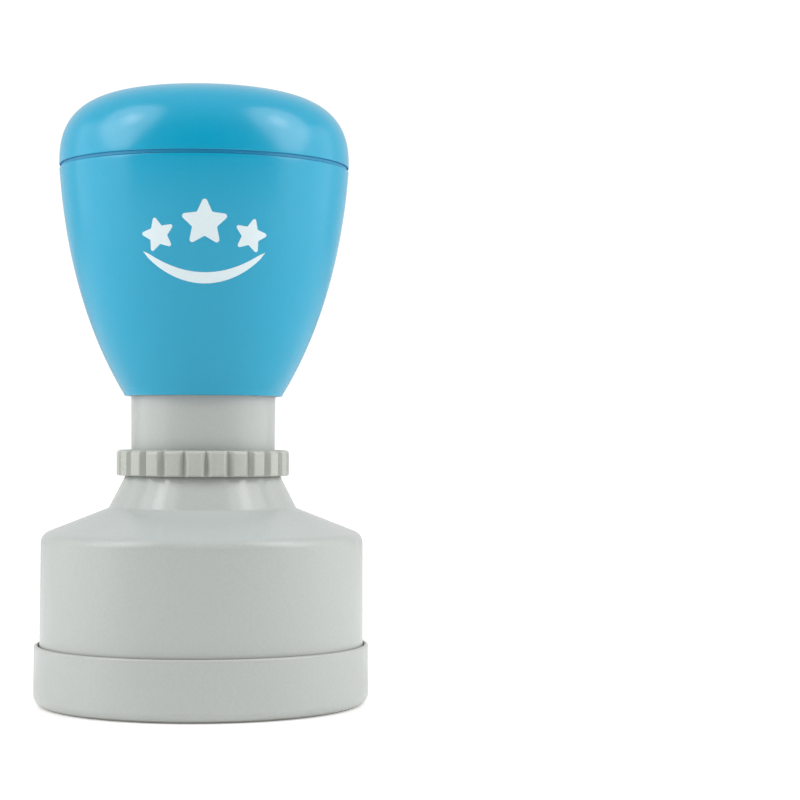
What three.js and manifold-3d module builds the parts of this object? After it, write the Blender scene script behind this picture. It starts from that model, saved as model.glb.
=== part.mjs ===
// Round pre-inked hand stamp: a press-down handle on a keyed neck, a toothed depth ring,
// a drum-shaped housing with the inked die inside, and a pull-off dust cap underneath.
// Millimetres, +Z up. The origin is the centre of the dust cap's flat underside; -Y is the front.

import * as THREE from 'three';
import { mergeVertices } from 'three/addons/utils/BufferGeometryUtils.js';
import Module from 'manifold-3d';

const wasm = await Module();
wasm.setup();

// ---------------------------------------------------------------- driving dimensions (mm)

const ROUND = 36;          // facets around the large turned parts
const ROUND_SMALL = 24;    // facets around the small turned parts
const SLIDE_GAP = 0.15;    // radial running gap of a telescoping pair
const REST_GAP = 0.1;      // gap between faces that rest on each other

// dust cap
const CAP_RADIUS = 24;         // at the foot of the wall
const CAP_RIM_RADIUS = 23.95;  // at the rim: the mould's draft
const CAP_HEIGHT = 8.6;
const CAP_FLOOR = 1.5;
const CAP_FOOT_FILLET = 1.6;
const CAP_RIM_ROUND = 0.3;

// housing: skirt and drum, sloping shoulder, cone, collar that holds the ring
const SKIRT_BOTTOM = 1.9;
const SKIRT_RADIUS = 23.17;
const SKIRT_CHAMFER = 0.9;     // clears the fillet in the cap's corner
const DRUM_TOP_RADIUS = 23.08;
const SHOULDER_Z = 24.16;      // where drum and shoulder would meet without the fillet
const SHOULDER_FILLET = 1.7;
const KNEE_RADIUS = 13.49;     // where shoulder and cone would meet without the fillet
const KNEE_Z = 27.81;
const KNEE_FILLET = 1.3;
const CONE_TOP_RADIUS = 10.87;
const CONE_TOP = 33.2;         // inside the recess under the ring
const SHELL_WALL = 1.6;
const COLLAR_BORE = 10.1;
const COLLAR_BOTTOM = 30.4;
const WEB_BOTTOM = 24;
const WEB_TOP = 25.8;
const GUIDE_TOP = 29.3;        // tube on the web that keys the neck
const GUIDE_RADIUS = 10.3;
const GUIDE_BORE = 9.05;
const KEY_WIDTH = 1.8;
const KEY_TIP_RADIUS = 8.1;

// depth ring
const RING_BOTTOM = 32.74;
const RING_TOP = 36.4;
const TEETH = 24;
const TOOTH_PHASE = 2.1;       // degrees from the front to the first groove, at rest
const TOOTH_TIP_RADIUS = 12.42;
const TOOTH_ROOT_RADIUS = 11.65;
const TIP_SHARE = 0.57;        // share of the pitch taken by the tooth's flat tip
const ROOT_SHARE = 0.05;       // share taken by the floor of the V-shaped groove
const RING_RECESS_RADIUS = 11.3;  // the underside is hollowed over the cone's top
const RING_RECESS_TOP = 33.35;
const RING_HUB_RADIUS = 9.95;
const RING_HUB_BOTTOM = 29.6;
const RING_LIP_RADIUS = 10.5;
const RING_LIP_TOP = 30.15;
const RING_COUNTERBORE = 10.5;
const RING_COUNTERBORE_Z = 34;
const RING_BORE = 8.9;

// neck sleeve
const NECK_TOP = 47.2;
const NECK_TOP_RADIUS = 10.39;
const NECK_STEP_RADIUS = 10.3;
const NECK_STEP_Z = 35.2;      // the wide tube ends here, inside the ring's counterbore
const NECK_BORE = 8.9;
const NECK_BORE_Z = 36.6;
const SHANK_RADIUS = 8.7;
const SHANK_BORE = 7.3;
const SHANK_BOTTOM = 27.2;
const KEYWAY_DEPTH = 0.85;
const KEYWAY_WIDTH = 2.4;

// handle
const HANDLE_BOTTOM = 44.15;
const HANDLE_RIM_RADIUS = 11.43;
const HANDLE_MOUTH = 10.65;    // bore that slides over the neck
const HANDLE_WALL = 1.6;
const SEAM_RADIUS = 20.8;
const SEAM_BOTTOM = 76.8;
const SEAM_TOP = 77.2;
const HANDLE_TOP = 88.1;
const DOME_RADIUS = 20.84;     // the dome stands a hair proud of the grip
const DOME_ACROSS_POWER = 3.85;  // exponents of the dome's superellipse outline:
const DOME_UP_POWER = 2.6;       // a flat crown with well rounded flanks
const EDGE_ROUND = 0.3;
const SPIGOT_RADIUS = 18.75;
const SPIGOT_WALL = 1.35;
const SPIGOT_BOTTOM = 72.3;
const CORE_TUBE_BOTTOM = 48.5;
const CORE_TUBE_RADIUS = 11.7;
const CORE_WEB_BOTTOM = 53.8;
const CORE_WEB_TOP = 56;
const CORE_RIM_LOW_RADIUS = 13.9;
const CORE_RIM_TOP_RADIUS = 14.7;

// stem, nut, washers, plug, spring
const STEM_RADIUS = 3.4;
const STEM_BORE = 1.9;
const STEM_BOTTOM = 18.7;
const STEM_TOP = 60.6;
const STEM_COLLAR_RADIUS = 6.3;
const STEM_COLLAR_BOTTOM = 52.6;
const STEM_HOLE = 3.6;         // bores that the stem slides or stands in
const WASHER_RADIUS = 6.6;
const WASHER_THICKNESS = 0.8;
const NUT_FLATS = 11;
const NUT_HEIGHT = 3;
const PLUG_HEAD_RADIUS = 3.2;
const PLUG_HEAD_HEIGHT = 1.8;
const PLUG_SHANK_RADIUS = 1.75;
const PLUG_SHANK_LENGTH = 4.8;
const SEAT_RADIUS = 6.9;
const SEAT_THICKNESS = 0.5;
const SPRING_COIL_RADIUS = 5.5;
const SPRING_WIRE_RADIUS = 0.5;
const SPRING_TURNS = 8.5;

// ink cell, pad, die
const CELL_RADIUS = 20.2;
const CELL_WALL = 1.2;
const CELL_TOP = 19;
const CELL_ROOF = 1.6;
const CELL_BOTTOM = 9.8;
const CELL_BOSS_RADIUS = 6;
const CELL_BOSS_TOP = 23.8;
const SEAL_POCKET_RADIUS = 4.6;
const SEAL_POCKET_DEPTH = 1.4;
const SEAL_SECTION = 0.5;
const CELL_FEED_RADIUS = 2;
const PAD_RADIUS = 18.8;
const PAD_BOTTOM = 10.7;
const PAD_TOP = 17.3;
const DIE_FACE_Z = 7.4;
const DIE_FACE_RADIUS = 18.5;
const DIE_FLANGE_RADIUS = 20;
const DIE_FLANGE_Z = 8.9;
const DIE_FLANGE_THICKNESS = 0.8;
const DIE_TOP = 10.6;
const CLAMP_RADIUS = 21.2;
const CLAMP_LIP_RADIUS = 18.7;
const CLAMP_BOTTOM = 8;
const CLAMP_LIP = 0.8;
const CLAMP_TOP = 13;

// ---------------------------------------------------------------- materials

const plastic = (colour, roughness) =>
  new THREE.MeshStandardMaterial({ color: colour, roughness, metalness: 0 });
const metal = (colour, roughness) =>
  new THREE.MeshStandardMaterial({ color: colour, roughness, metalness: 1 });

const greyPlastic = plastic(0xc3c6c1, 0.45);
const bluePlastic = plastic(0x3fa5d2, 0.35);
const whitePlastic = plastic(0xe8e8e4, 0.4);
const blackRubber = plastic(0x1c1c1e, 0.8);
const springSteel = metal(0xb9bcc0, 0.3);
const zincSteel = metal(0xc8cacc, 0.35);
const felt = plastic(0x2b3f9c, 0.95);
const foam = plastic(0x2a45b8, 0.85);

// ---------------------------------------------------------------- outline helpers

const point = (radius, z) => new THREE.Vector2(radius, z);

const onCircle = (radius, angle) =>
  new THREE.Vector2(radius * Math.cos(angle), radius * Math.sin(angle));

const polygon = (radius, sides) =>
  Array.from({ length: sides }, (_, i) => onCircle(radius, (2 * Math.PI * i) / sides));

// Points of a circular arc about (radius, z), angles in degrees from +radius towards +z.
function arc(radius, z, size, from, to, steps) {
  const points = [];
  for (let i = 0; i <= steps; i += 1) {
    const angle = THREE.MathUtils.degToRad(from + ((to - from) * i) / steps);
    points.push(point(radius + size * Math.cos(angle), z + size * Math.sin(angle)));
  }
  return points;
}

function bezier(a, b, c, d, steps) {
  return new THREE.CubicBezierCurve(a, b, c, d).getPoints(steps);
}

// Quarter superellipse from the equator (radius, z) up to the pole (0, z + height).
function quarterDome(radius, z, height, steps) {
  const points = [];
  for (let i = 0; i <= steps; i += 1) {
    const angle = (Math.PI / 2) * (i / steps);
    const across = i === steps ? 0 : Math.cos(angle) ** (2 / DOME_ACROSS_POWER);
    const up = Math.sin(angle) ** (2 / DOME_UP_POWER);
    points.push(point(radius * across, z + height * up));
  }
  return points;
}

// ---------------------------------------------------------------- solid helpers

// Merged, non-degenerate triangles whose faces point out.
function cleaned(geometry) {
  const bare = new THREE.BufferGeometry();
  bare.setAttribute('position', geometry.getAttribute('position').clone());
  if (geometry.index) {
    bare.setIndex(geometry.index.clone());
  }
  const merged = mergeVertices(bare, 1e-4);
  const at = merged.getAttribute('position');
  const a = new THREE.Vector3();
  const b = new THREE.Vector3();
  const c = new THREE.Vector3();
  const triangles = [];
  let volume = 0;
  for (let i = 0; i < merged.index.count; i += 3) {
    const corners = [0, 1, 2].map((k) => merged.index.getX(i + k));
    if (new Set(corners).size === 3) {
      a.fromBufferAttribute(at, corners[0]);
      b.fromBufferAttribute(at, corners[1]);
      c.fromBufferAttribute(at, corners[2]);
      volume += a.dot(b.cross(c));
      triangles.push(corners);
    }
  }
  const facing = volume < 0 ? triangles.map(([i, j, k]) => [i, k, j]) : triangles;
  merged.setIndex(facing.flat());
  return merged;
}

// A closed outline of Vector2(radius, z) turned about the Z axis.
function turned(outline, facets) {
  const loop = outline[0].x === 0 ? outline : [...outline, outline[0].clone()];
  return cleaned(new THREE.LatheGeometry(loop, facets).rotateX(Math.PI / 2));
}

// A flat ring: a washer, a disc with a bore.
function ring(bore, radius, bottom, top, facets) {
  const outline = [point(bore, bottom), point(radius, bottom), point(radius, top), point(bore, top)];
  return turned(outline, facets);
}

function extruded(shape, bottom, top) {
  const options = { depth: top - bottom, bevelEnabled: false };
  return cleaned(new THREE.ExtrudeGeometry(shape, options).translate(0, 0, bottom));
}

function toSolid(geometry) {
  const vertProperties = new Float32Array(geometry.getAttribute('position').array);
  const triVerts = new Uint32Array(geometry.index.array);
  return new wasm.Manifold(new wasm.Mesh({ numProp: 3, vertProperties, triVerts }));
}

function fromSolid(solid) {
  const mesh = solid.getMesh();
  const geometry = new THREE.BufferGeometry();
  geometry.setAttribute('position', new THREE.BufferAttribute(mesh.vertProperties, 3));
  geometry.setIndex(new THREE.BufferAttribute(mesh.triVerts, 1));
  return geometry;
}

// Two opposite blocks along X, from one radius to another: keys, or the tool for keyways.
function keyPair(innerRadius, outerRadius, width, bottom, top) {
  const length = outerRadius - innerRadius;
  const middle = (innerRadius + outerRadius) / 2;
  return [-1, 1].map((side) => {
    const block = new THREE.BoxGeometry(length, width, top - bottom);
    return toSolid(cleaned(block.translate(side * middle, 0, (bottom + top) / 2)));
  });
}

// ---------------------------------------------------------------- dust cap

function dustCap() {
  const bore = SKIRT_RADIUS + SLIDE_GAP;
  const outline = [
    point(0, 0),
    ...arc(CAP_RADIUS - CAP_FOOT_FILLET, CAP_FOOT_FILLET, CAP_FOOT_FILLET, -90, 0, 4),
    ...arc(CAP_RIM_RADIUS - CAP_RIM_ROUND, CAP_HEIGHT - CAP_RIM_ROUND, CAP_RIM_ROUND, 0, 90, 2),
    point(bore, CAP_HEIGHT),
    ...arc(bore - 1, CAP_FLOOR + 1, 1, 0, -90, 1),
    point(0, CAP_FLOOR),
  ];
  return turned(outline, ROUND);
}

// ---------------------------------------------------------------- housing

function housing() {
  const slope = Math.atan2(KNEE_Z - SHOULDER_Z, DRUM_TOP_RADIUS - KNEE_RADIUS);
  const slopeDegrees = THREE.MathUtils.radToDeg(slope);
  const steep = Math.atan2(CONE_TOP - KNEE_Z, KNEE_RADIUS - CONE_TOP_RADIUS);
  const kneeTangent = KNEE_FILLET * Math.tan((steep - slope) / 2);
  const kneeFillet = arc(
    KNEE_RADIUS + kneeTangent * Math.cos(slope) + KNEE_FILLET * Math.sin(slope),
    KNEE_Z - kneeTangent * Math.sin(slope) + KNEE_FILLET * Math.cos(slope),
    KNEE_FILLET,
    -90 - slopeDegrees,
    -90 - THREE.MathUtils.radToDeg(steep),
    2,
  );
  const tangent = SHOULDER_FILLET * Math.tan((Math.PI / 2 - slope) / 2);
  const filletRadius = DRUM_TOP_RADIUS - SHOULDER_FILLET;
  const fillet = arc(filletRadius, SHOULDER_Z - tangent, SHOULDER_FILLET, 0, 90 - slopeDegrees, 4);
  const drop = SHELL_WALL / Math.cos(slope);
  const underShoulder = (radius) => SHOULDER_Z + (DRUM_TOP_RADIUS - radius) * Math.tan(slope) - drop;
  const skirtBore = SKIRT_RADIUS - SHELL_WALL - 0.1;
  const coneRun = (KNEE_RADIUS - CONE_TOP_RADIUS) / (CONE_TOP - KNEE_Z);
  const coneInside = (z) => CONE_TOP_RADIUS + (CONE_TOP - z) * coneRun - 1.3;
  const pocketTop = COLLAR_BOTTOM - 0.3;
  const dishRadius = KNEE_RADIUS + 1;
  const outline = [
    point(SKIRT_RADIUS - SKIRT_CHAMFER, SKIRT_BOTTOM),
    point(SKIRT_RADIUS, SKIRT_BOTTOM + SKIRT_CHAMFER),
    point(SKIRT_RADIUS, CAP_HEIGHT),
    ...fillet,
    ...kneeFillet,
    point(CONE_TOP_RADIUS, CONE_TOP),
    point(COLLAR_BORE, CONE_TOP),
    point(COLLAR_BORE, COLLAR_BOTTOM),
    point(coneInside(pocketTop), pocketTop),
    point(coneInside(WEB_TOP + 1), WEB_TOP + 1),
    point(coneInside(WEB_TOP + 1) - 0.6, WEB_TOP),
    point(GUIDE_RADIUS, WEB_TOP),
    point(GUIDE_RADIUS, GUIDE_TOP),
    point(GUIDE_BORE, GUIDE_TOP),
    point(GUIDE_BORE, WEB_TOP),
    point(STEM_HOLE, WEB_TOP),
    point(STEM_HOLE, WEB_BOTTOM),
    point(KNEE_RADIUS - 2.4, WEB_BOTTOM),
    point(dishRadius, underShoulder(dishRadius)),
    point(skirtBore, underShoulder(skirtBore)),
    point(skirtBore, SKIRT_BOTTOM),
  ];
  const shell = toSolid(turned(outline, ROUND));
  const keys = keyPair(KEY_TIP_RADIUS, GUIDE_BORE + 0.6, KEY_WIDTH, WEB_TOP - 0.5, GUIDE_TOP);
  return fromSolid(keys.reduce((solid, key) => solid.add(key), shell));
}

// ---------------------------------------------------------------- depth ring

// Trapezoid teeth all round, given as the corners of one flat outline.
function toothOutline() {
  const pitch = (2 * Math.PI) / TEETH;
  const firstGroove = THREE.MathUtils.degToRad(TOOTH_PHASE - 90);
  const corners = [
    [TOOTH_ROOT_RADIUS, -ROOT_SHARE / 2],
    [TOOTH_ROOT_RADIUS, ROOT_SHARE / 2],
    [TOOTH_TIP_RADIUS, (1 - TIP_SHARE) / 2],
    [TOOTH_TIP_RADIUS, (1 + TIP_SHARE) / 2],
  ];
  const outline = [];
  for (let tooth = 0; tooth < TEETH; tooth += 1) {
    for (const [radius, share] of corners) {
      outline.push(onCircle(radius, firstGroove + (tooth + share) * pitch));
    }
  }
  return new THREE.Shape(outline);
}

function adjustingRing() {
  const teeth = toSolid(extruded(toothOutline(), RING_BOTTOM, RING_TOP));
  const recess = toSolid(turned([
    point(0, RING_BOTTOM - 1),
    point(RING_RECESS_RADIUS, RING_BOTTOM - 1),
    point(RING_RECESS_RADIUS, RING_RECESS_TOP),
    point(0, RING_RECESS_TOP),
  ], ROUND));
  const hub = toSolid(turned([
    point(0, RING_HUB_BOTTOM),
    point(RING_LIP_RADIUS - 0.4, RING_HUB_BOTTOM),
    point(RING_LIP_RADIUS, RING_LIP_TOP - 0.2),
    point(RING_LIP_RADIUS, RING_LIP_TOP),
    point(RING_HUB_RADIUS, RING_LIP_TOP),
    point(RING_HUB_RADIUS, RING_RECESS_TOP + 0.5),
    point(0, RING_RECESS_TOP + 0.5),
  ], ROUND));
  const bore = toSolid(turned([
    point(0, RING_HUB_BOTTOM - 1),
    point(RING_BORE, RING_HUB_BOTTOM - 1),
    point(RING_BORE, RING_COUNTERBORE_Z),
    point(RING_COUNTERBORE, RING_COUNTERBORE_Z),
    point(RING_COUNTERBORE, RING_TOP + 1),
    point(0, RING_TOP + 1),
  ], ROUND));
  return fromSolid(teeth.subtract(recess).add(hub).subtract(bore));
}

// ---------------------------------------------------------------- neck sleeve

function neckSleeve() {
  const tube = toSolid(turned([
    point(NECK_STEP_RADIUS, NECK_STEP_Z),
    point(NECK_TOP_RADIUS, NECK_TOP - 0.4),
    point(NECK_TOP_RADIUS - 0.4, NECK_TOP),
    point(NECK_BORE, NECK_TOP),
    point(NECK_BORE, NECK_BORE_Z),
    point(SHANK_BORE, NECK_BORE_Z - 1),
    point(SHANK_BORE, SHANK_BOTTOM),
    point(SHANK_RADIUS, SHANK_BOTTOM),
    point(SHANK_RADIUS, NECK_STEP_Z),
  ], ROUND));
  const floor = SHANK_RADIUS - KEYWAY_DEPTH;
  const keywayTop = GUIDE_TOP + 2;
  const cutters = keyPair(floor, SHANK_RADIUS + 1, KEYWAY_WIDTH, SHANK_BOTTOM - 1, keywayTop);
  return fromSolid(cutters.reduce((solid, cutter) => solid.subtract(cutter), tube));
}

// ---------------------------------------------------------------- handle

// The handle's flank, from the rim over the neck to the seam, moved in by an inset.
function flank(inset, steps) {
  return bezier(
    point(HANDLE_RIM_RADIUS - inset, HANDLE_BOTTOM + EDGE_ROUND),
    point(17.24 - inset, 54.1),
    point(19.98 - inset, 65.45),
    point(SEAM_RADIUS - inset, SEAM_BOTTOM - EDGE_ROUND),
    steps,
  );
}

function handleShell() {
  const inside = flank(HANDLE_WALL, 8).filter((p) => p.x > HANDLE_MOUTH + 0.2);
  const boreTop = SEAM_RADIUS - HANDLE_WALL;
  const outline = [
    point(HANDLE_MOUTH, HANDLE_BOTTOM),
    ...arc(HANDLE_RIM_RADIUS - EDGE_ROUND, HANDLE_BOTTOM + EDGE_ROUND, EDGE_ROUND, -90, 0, 1),
    ...flank(0, 11).slice(1),
    point(SEAM_RADIUS - EDGE_ROUND, SEAM_BOTTOM),
    point(boreTop, SEAM_BOTTOM),
    ...inside.reverse(),
    point(HANDLE_MOUTH, inside[inside.length - 1].y - 1.2),
  ];
  return turned(outline, ROUND);
}

function handleCap() {
  const domeHeight = HANDLE_TOP - SEAM_TOP - EDGE_ROUND;
  const domeBase = SEAM_TOP + EDGE_ROUND;
  const hollow = HANDLE_TOP - HANDLE_WALL - SEAM_TOP;
  const inside = quarterDome(SPIGOT_RADIUS - SPIGOT_WALL, SEAM_TOP, hollow, 7);
  const outline = [
    ...inside.reverse(),
    point(SPIGOT_RADIUS - SPIGOT_WALL, SPIGOT_BOTTOM),
    point(SPIGOT_RADIUS - 0.4, SPIGOT_BOTTOM),
    point(SPIGOT_RADIUS, SPIGOT_BOTTOM + 0.4),
    point(SPIGOT_RADIUS, SEAM_TOP),
    point(DOME_RADIUS - EDGE_ROUND, SEAM_TOP),
    ...quarterDome(DOME_RADIUS, domeBase, domeHeight, 12),
  ];
  return turned(outline, ROUND);
}

// The moulded insert inside the handle: a web that takes the stem and a tube that guides the neck.
function handleCore() {
  return turned([
    point(HANDLE_MOUTH, CORE_TUBE_BOTTOM),
    point(CORE_TUBE_RADIUS, CORE_TUBE_BOTTOM),
    point(CORE_TUBE_RADIUS, CORE_WEB_BOTTOM),
    point(CORE_RIM_LOW_RADIUS, CORE_WEB_BOTTOM),
    point(CORE_RIM_TOP_RADIUS, CORE_WEB_TOP),
    point(STEM_HOLE, CORE_WEB_TOP),
    point(STEM_HOLE, CORE_WEB_BOTTOM),
    point(HANDLE_MOUTH, CORE_WEB_BOTTOM),
  ], ROUND);
}

// ---------------------------------------------------------------- stem and its fastenings

function stem() {
  return turned([
    point(STEM_BORE, STEM_BOTTOM),
    point(STEM_RADIUS, STEM_BOTTOM),
    point(STEM_RADIUS, STEM_COLLAR_BOTTOM),
    point(STEM_COLLAR_RADIUS, STEM_COLLAR_BOTTOM),
    point(STEM_COLLAR_RADIUS, CORE_WEB_BOTTOM - REST_GAP),
    point(STEM_RADIUS, CORE_WEB_BOTTOM - REST_GAP),
    point(STEM_RADIUS, STEM_TOP),
    point(STEM_BORE, STEM_TOP),
  ], ROUND_SMALL);
}

const WASHER_BOTTOM = CORE_WEB_TOP + REST_GAP;
const NUT_BOTTOM = WASHER_BOTTOM + WASHER_THICKNESS + REST_GAP;
const NUT_TOP = NUT_BOTTOM + NUT_HEIGHT;

function stemNut() {
  const corner = NUT_FLATS / Math.sqrt(3);
  const shape = new THREE.Shape(polygon(corner, 6));
  shape.holes.push(new THREE.Path().absarc(0, 0, STEM_HOLE, 0, 2 * Math.PI, true));
  const prism = toSolid(extruded(shape, NUT_BOTTOM, NUT_TOP));
  const bevel = toSolid(turned([
    point(0, NUT_BOTTOM - 1),
    point(corner + 1, NUT_BOTTOM - 1),
    point(corner + 1, NUT_TOP - 1),
    point(NUT_FLATS / 2 - 0.3, NUT_TOP + 0.01),
    point(0, NUT_TOP + 0.01),
  ], ROUND_SMALL));
  return fromSolid(prism.intersect(bevel));
}

function refillPlug() {
  const head = STEM_TOP + REST_GAP;
  return turned([
    point(0, head - PLUG_SHANK_LENGTH),
    point(PLUG_SHANK_RADIUS - 0.4, head - PLUG_SHANK_LENGTH),
    point(PLUG_SHANK_RADIUS, head - PLUG_SHANK_LENGTH + 0.8),
    point(PLUG_SHANK_RADIUS, head),
    point(PLUG_HEAD_RADIUS, head),
    point(PLUG_HEAD_RADIUS, head + PLUG_HEAD_HEIGHT - 0.4),
    point(PLUG_HEAD_RADIUS - 0.4, head + PLUG_HEAD_HEIGHT),
    point(0, head + PLUG_HEAD_HEIGHT),
  ], ROUND_SMALL);
}

const SEAT_TOP = WEB_TOP + REST_GAP + SEAT_THICKNESS;

// One helix of round wire, standing on its seat and reaching up to the stem's collar.
class SpringPath extends THREE.Curve {
  constructor(radius, bottom, top, turns) {
    super();
    this.radius = radius;
    this.bottom = bottom;
    this.top = top;
    this.turns = turns;
  }

  getPoint(t, target = new THREE.Vector3()) {
    const angle = 2 * Math.PI * this.turns * t;
    const z = this.bottom + (this.top - this.bottom) * t;
    return target.set(this.radius * Math.cos(angle), this.radius * Math.sin(angle), z);
  }
}

function returnSpring() {
  const clear = SPRING_WIRE_RADIUS + REST_GAP;
  const path = new SpringPath(
    SPRING_COIL_RADIUS, SEAT_TOP + clear, STEM_COLLAR_BOTTOM - clear, SPRING_TURNS,
  );
  const wire = new THREE.Shape(polygon(SPRING_WIRE_RADIUS, 6));
  const steps = Math.round(SPRING_TURNS * 12);
  return cleaned(new THREE.ExtrudeGeometry(wire, { steps, extrudePath: path, bevelEnabled: false }));
}

// ---------------------------------------------------------------- ink cell and die

function inkCell() {
  const bore = CELL_RADIUS - CELL_WALL;
  const pocketFloor = CELL_BOSS_TOP - SEAL_POCKET_DEPTH;
  const shelf = STEM_BOTTOM - REST_GAP;
  return turned([
    point(bore, CELL_BOTTOM),
    point(CELL_RADIUS, CELL_BOTTOM),
    point(CELL_RADIUS, CELL_TOP - 1),
    point(CELL_RADIUS - 1, CELL_TOP),
    point(CELL_BOSS_RADIUS + 0.4, CELL_TOP),
    point(CELL_BOSS_RADIUS, CELL_TOP + 0.4),
    point(CELL_BOSS_RADIUS, CELL_BOSS_TOP),
    point(SEAL_POCKET_RADIUS, CELL_BOSS_TOP),
    point(SEAL_POCKET_RADIUS, pocketFloor),
    point(STEM_HOLE, pocketFloor),
    point(STEM_HOLE, shelf),
    point(CELL_FEED_RADIUS, shelf),
    point(CELL_FEED_RADIUS, CELL_TOP - CELL_ROOF),
    point(bore, CELL_TOP - CELL_ROOF),
  ], ROUND);
}

function stemSeal() {
  const middle = STEM_RADIUS + SEAL_SECTION + 0.08;
  const z = CELL_BOSS_TOP - SEAL_POCKET_DEPTH / 2;
  return cleaned(new THREE.TorusGeometry(middle, SEAL_SECTION, 8, ROUND_SMALL).translate(0, 0, z));
}

function inkPad() {
  const outline = [point(0, PAD_BOTTOM), point(PAD_RADIUS, PAD_BOTTOM), point(PAD_RADIUS, PAD_TOP),
    point(0, PAD_TOP)];
  return turned(outline, ROUND);
}

function foamDie() {
  const flangeTop = DIE_FLANGE_Z + DIE_FLANGE_THICKNESS;
  return turned([
    point(0, DIE_FACE_Z),
    point(DIE_FACE_RADIUS, DIE_FACE_Z),
    point(DIE_FACE_RADIUS, DIE_FLANGE_Z),
    point(DIE_FLANGE_RADIUS, DIE_FLANGE_Z),
    point(DIE_FLANGE_RADIUS, flangeTop),
    point(PAD_RADIUS, flangeTop),
    point(PAD_RADIUS, DIE_TOP),
    point(0, DIE_TOP),
  ], ROUND);
}

function dieClamp() {
  return turned([
    point(CLAMP_LIP_RADIUS, CLAMP_BOTTOM),
    point(CLAMP_RADIUS, CLAMP_BOTTOM),
    point(CLAMP_RADIUS, CLAMP_TOP),
    point(CELL_RADIUS + REST_GAP, CLAMP_TOP),
    point(CELL_RADIUS + REST_GAP, CLAMP_BOTTOM + CLAMP_LIP),
    point(CLAMP_LIP_RADIUS, CLAMP_BOTTOM + CLAMP_LIP),
  ], ROUND);
}

// ---------------------------------------------------------------- the assembly

const stamp = new THREE.Group();

function place(name, geometry, material) {
  const mesh = new THREE.Mesh(geometry, material);
  mesh.name = name;
  stamp.add(mesh);
}

place('dust_cap', dustCap(), greyPlastic);
place('housing', housing(), greyPlastic);
place('adjusting_ring', adjustingRing(), greyPlastic);
place('neck_sleeve', neckSleeve(), greyPlastic);
place('handle_shell', handleShell(), bluePlastic);
place('handle_cap', handleCap(), bluePlastic);
place('handle_core', handleCore(), whitePlastic);
place('stem', stem(), whitePlastic);
place('nut_washer', ring(
  STEM_HOLE, WASHER_RADIUS, WASHER_BOTTOM, WASHER_BOTTOM + WASHER_THICKNESS, ROUND_SMALL,
), zincSteel);
place('stem_nut', stemNut(), zincSteel);
place('refill_plug', refillPlug(), blackRubber);
place('spring_seat', ring(
  STEM_HOLE, SEAT_RADIUS, WEB_TOP + REST_GAP, SEAT_TOP, ROUND_SMALL,
), zincSteel);
place('return_spring', returnSpring(), springSteel);
place('ink_cell', inkCell(), whitePlastic);
place('stem_seal', stemSeal(), blackRubber);
place('ink_pad', inkPad(), felt);
place('foam_die', foamDie(), foam);
place('die_clamp', dieClamp(), greyPlastic);

export default stamp;
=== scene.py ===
"""Round pre-inked hand stamp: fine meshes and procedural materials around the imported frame.

Sizes are in millimetres until a mesh is made, which turns them into metres. Heights and radii come
from the frame's boxes; roundings and other small sizes are named here. +Z is up, -Y is the front.
"""

import math

import bmesh
import bpy
from mathutils import Matrix, Vector

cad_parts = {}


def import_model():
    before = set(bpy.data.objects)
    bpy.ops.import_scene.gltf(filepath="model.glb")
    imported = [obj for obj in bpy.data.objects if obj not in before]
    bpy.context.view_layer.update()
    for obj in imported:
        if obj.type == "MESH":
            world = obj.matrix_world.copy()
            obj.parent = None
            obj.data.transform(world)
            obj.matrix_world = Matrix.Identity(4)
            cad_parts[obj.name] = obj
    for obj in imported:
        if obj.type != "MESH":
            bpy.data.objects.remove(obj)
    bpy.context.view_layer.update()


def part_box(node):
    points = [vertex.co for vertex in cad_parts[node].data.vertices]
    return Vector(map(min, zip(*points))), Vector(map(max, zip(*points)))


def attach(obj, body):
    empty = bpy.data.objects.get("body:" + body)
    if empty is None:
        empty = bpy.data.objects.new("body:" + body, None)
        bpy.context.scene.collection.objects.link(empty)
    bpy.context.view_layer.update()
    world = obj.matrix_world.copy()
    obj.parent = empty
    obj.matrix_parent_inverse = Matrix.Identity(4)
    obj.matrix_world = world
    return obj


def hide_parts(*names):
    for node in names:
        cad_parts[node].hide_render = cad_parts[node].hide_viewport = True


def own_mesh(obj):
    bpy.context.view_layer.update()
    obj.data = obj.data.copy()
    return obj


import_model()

MM = 0.001
ROUND = 192          # segments around a large turned piece
ROUND_SMALL = 96     # segments around a small one
DOME_ACROSS_POWER = 3.85      # exponents of the dome's outline: a flat crown
DOME_UP_POWER = 2.6           # with well rounded flanks
EDGE_BREAK = 0.15             # usual rounding of a moulded edge inside
FINE_BREAK = 0.12             # and of a thin lip

# ---------------------------------------------------------------- the frame's sizes


def bottom(node):
    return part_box(node)[0].z / MM


def top(node):
    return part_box(node)[1].z / MM


def radius(node):
    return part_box(node)[1].x / MM


# ---------------------------------------------------------------- outlines: lists of (radius, z)


def arc(centre_r, centre_z, size, start, end, steps=8):
    """Points of a circular arc, angles in degrees from +radius towards +z."""
    points = []
    for i in range(steps + 1):
        angle = math.radians(start + (end - start) * i / steps)
        points.append((centre_r + size * math.cos(angle), centre_z + size * math.sin(angle)))
    return points


def bezier(a, b, c, d, steps=48):
    points = []
    for i in range(steps + 1):
        t = i / steps
        s = 1 - t
        weights = (s ** 3, 3 * s * s * t, 3 * s * t * t, t ** 3)
        r = sum(w * p[0] for w, p in zip(weights, (a, b, c, d)))
        z = sum(w * p[1] for w, p in zip(weights, (a, b, c, d)))
        points.append((r, z))
    return points


def quarter_dome(base_r, base_z, height, steps=64):
    """Quarter superellipse from the equator up to the pole on the axis."""
    points = []
    for i in range(steps + 1):
        angle = math.pi / 2 * i / steps
        across = 0.0 if i == steps else math.cos(angle) ** (2 / DOME_ACROSS_POWER)
        points.append((base_r * across, base_z + height * math.sin(angle) ** (2 / DOME_UP_POWER)))
    return points


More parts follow.
